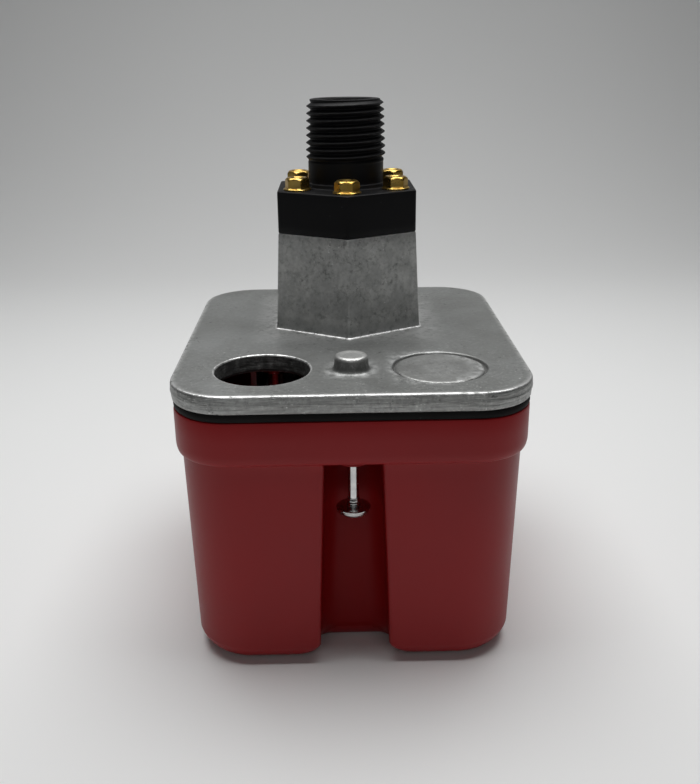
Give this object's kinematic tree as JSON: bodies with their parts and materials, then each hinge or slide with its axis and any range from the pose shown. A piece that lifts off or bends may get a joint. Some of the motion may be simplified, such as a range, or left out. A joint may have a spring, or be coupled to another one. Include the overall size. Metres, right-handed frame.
{
  "type": "pressure switch",
  "caption": "Diaphragm pressure switch: hexagonal cast base with a threaded pipe port, conduit knockouts and a lift-off red cover over two snap-action switches.",
  "frame": {"origin": "centre of the base plate's outline, projected on to the cover's closed face, on which the part stands", "axes": "+Z along the pipe port, out of it; -Y towards the side with the knockouts and the cover screw; +X to the right seen from there"},
  "size_m": [0.083, 0.096, 0.1288],
  "materials": {
    "cover": "moulded, satin red",
    "gasket": "matt black",
    "screw_steel": "bright zinc",
    "casting": "as cast, mottled",
    "fitting": "moulded black",
    "yellow_zinc": "yellow zinc plated steel",
    "diaphragm": "matt black",
    "brass": "turned",
    "bright_steel": "zinc plated",
    "spring_steel": "drawn wire",
    "ground_green": "green",
    "barrier": "pressed insulating sheet",
    "switch_case": "moulded black",
    "switch_lid": "moulded dark brown",
    "plunger": "moulded red"
  },
  "bodies": {
    "cover": {"cover": "cover"},
    "base": {"cover_gasket": "gasket", "base_casting": "casting", "port_fitting": "fitting", "flange_screws": "yellow_zinc", "diaphragm": "diaphragm", "guide_bush": "brass", "mechanism_bracket": "bright_steel", "bracket_screws": "bright_steel", "lever_pivot_pin": "bright_steel", "pivot_clips": "spring_steel", "ground_screw": "ground_green", "ground_washer": "bright_steel", "insulating_barrier": "barrier", "switch_screws": "bright_steel", "switch_nuts": "bright_steel", "stud_end_nuts": "bright_steel", "adjusting_stud_left": "bright_steel", "range_spring_left": "spring_steel", "switch_case_left": "switch_case", "switch_lid_left": "switch_lid", "terminals_left": "brass", "clamp_plates_left": "bright_steel", "terminal_screws_left": "bright_steel", "adjusting_stud_right": "bright_steel", "range_spring_right": "spring_steel", "switch_case_right": "switch_case", "switch_lid_right": "switch_lid", "terminals_right": "brass", "clamp_plates_right": "bright_steel", "terminal_screws_right": "bright_steel"},
    "cover_screw": {"cover_screw": "screw_steel"},
    "screw_collar": {"screw_collar": "screw_steel"},
    "piston": {"piston": "bright_steel", "thrust_beam": "bright_steel", "beam_screw": "bright_steel"},
    "lever_left": {"lever_left": "bright_steel"},
    "plunger_left": {"switch_plunger_left": "plunger"},
    "seat_left": {"spring_seat_left": "bright_steel"},
    "knob_left": {"adjusting_knob_left": "brass"},
    "lever_right": {"lever_right": "bright_steel"},
    "plunger_right": {"switch_plunger_right": "plunger"},
    "seat_right": {"spring_seat_right": "bright_steel"},
    "knob_right": {"adjusting_knob_right": "brass"}
  },
  "joints": [
    {"name": "base_lift", "type": "slide", "parent": "cover", "child": "base", "axis": [0, 0, 1], "range_m": [0, 0.07]},
    {"name": "collar_advance", "type": "slide", "parent": "cover", "child": "screw_collar", "axis": [0, 0, 1], "range_m": [0, 0.0114]},
    {"name": "cover_screw_turn", "type": "hinge", "parent": "screw_collar", "child": "cover_screw", "pos_m": [0, -0.0413, 0.045], "axis": [0, 0, 1], "range_deg": [0, 5173.8]},
    {"name": "piston_slide", "type": "slide", "parent": "base", "child": "piston", "axis": [0, 0, -1], "range_m": [0, 0.001], "stiffness_N_per_m": 3000, "springref_m": -0.003},
    {"name": "lever_left_turn", "type": "hinge", "parent": "base", "child": "lever_left", "pos_m": [-0.019, 0.036, 0.054], "axis": [1, 0, 0], "range_deg": [0, 2.75]},
    {"name": "plunger_left_slide", "type": "slide", "parent": "base", "child": "plunger_left", "axis": [0, 0, -1], "range_m": [0, 0.0013]},
    {"name": "seat_left_slide", "type": "slide", "parent": "base", "child": "seat_left", "axis": [0, 0, 1], "range_m": [0, 0.0042], "deforming": ["range_spring_left"]},
    {"name": "knob_left_turn", "type": "hinge", "parent": "seat_left", "child": "knob_left", "pos_m": [-0.019, -0.01, 0.023], "axis": [0, 0, 1], "range_deg": [0, 2165]},
    {"name": "lever_right_turn", "type": "hinge", "parent": "base", "child": "lever_right", "pos_m": [0.019, 0.036, 0.054], "axis": [1, 0, 0], "range_deg": [0, 2.75]},
    {"name": "plunger_right_slide", "type": "slide", "parent": "base", "child": "plunger_right", "axis": [0, 0, -1], "range_m": [0, 0.0013]},
    {"name": "seat_right_slide", "type": "slide", "parent": "base", "child": "seat_right", "axis": [0, 0, 1], "range_m": [0, 0.0042], "deforming": ["range_spring_right"]},
    {"name": "knob_right_turn", "type": "hinge", "parent": "seat_right", "child": "knob_right", "pos_m": [0.019, -0.01, 0.023], "axis": [0, 0, 1], "range_deg": [0, 2165]}
  ],
  "couplings": [
    {"joint": "cover_screw_turn", "follows": "collar_advance", "rad_per_m": 7913.3},
    {"joint": "lever_left_turn", "follows": "piston_slide", "rad_per_m": 47.619},
    {"joint": "plunger_left_slide", "follows": "piston_slide", "ratio": 1.2857},
    {"joint": "knob_left_turn", "follows": "seat_left_slide", "rad_per_m": 8976},
    {"joint": "lever_right_turn", "follows": "piston_slide", "rad_per_m": 47.619},
    {"joint": "plunger_right_slide", "follows": "piston_slide", "ratio": 1.2857},
    {"joint": "knob_right_turn", "follows": "seat_right_slide", "rad_per_m": 8976}
  ]
}
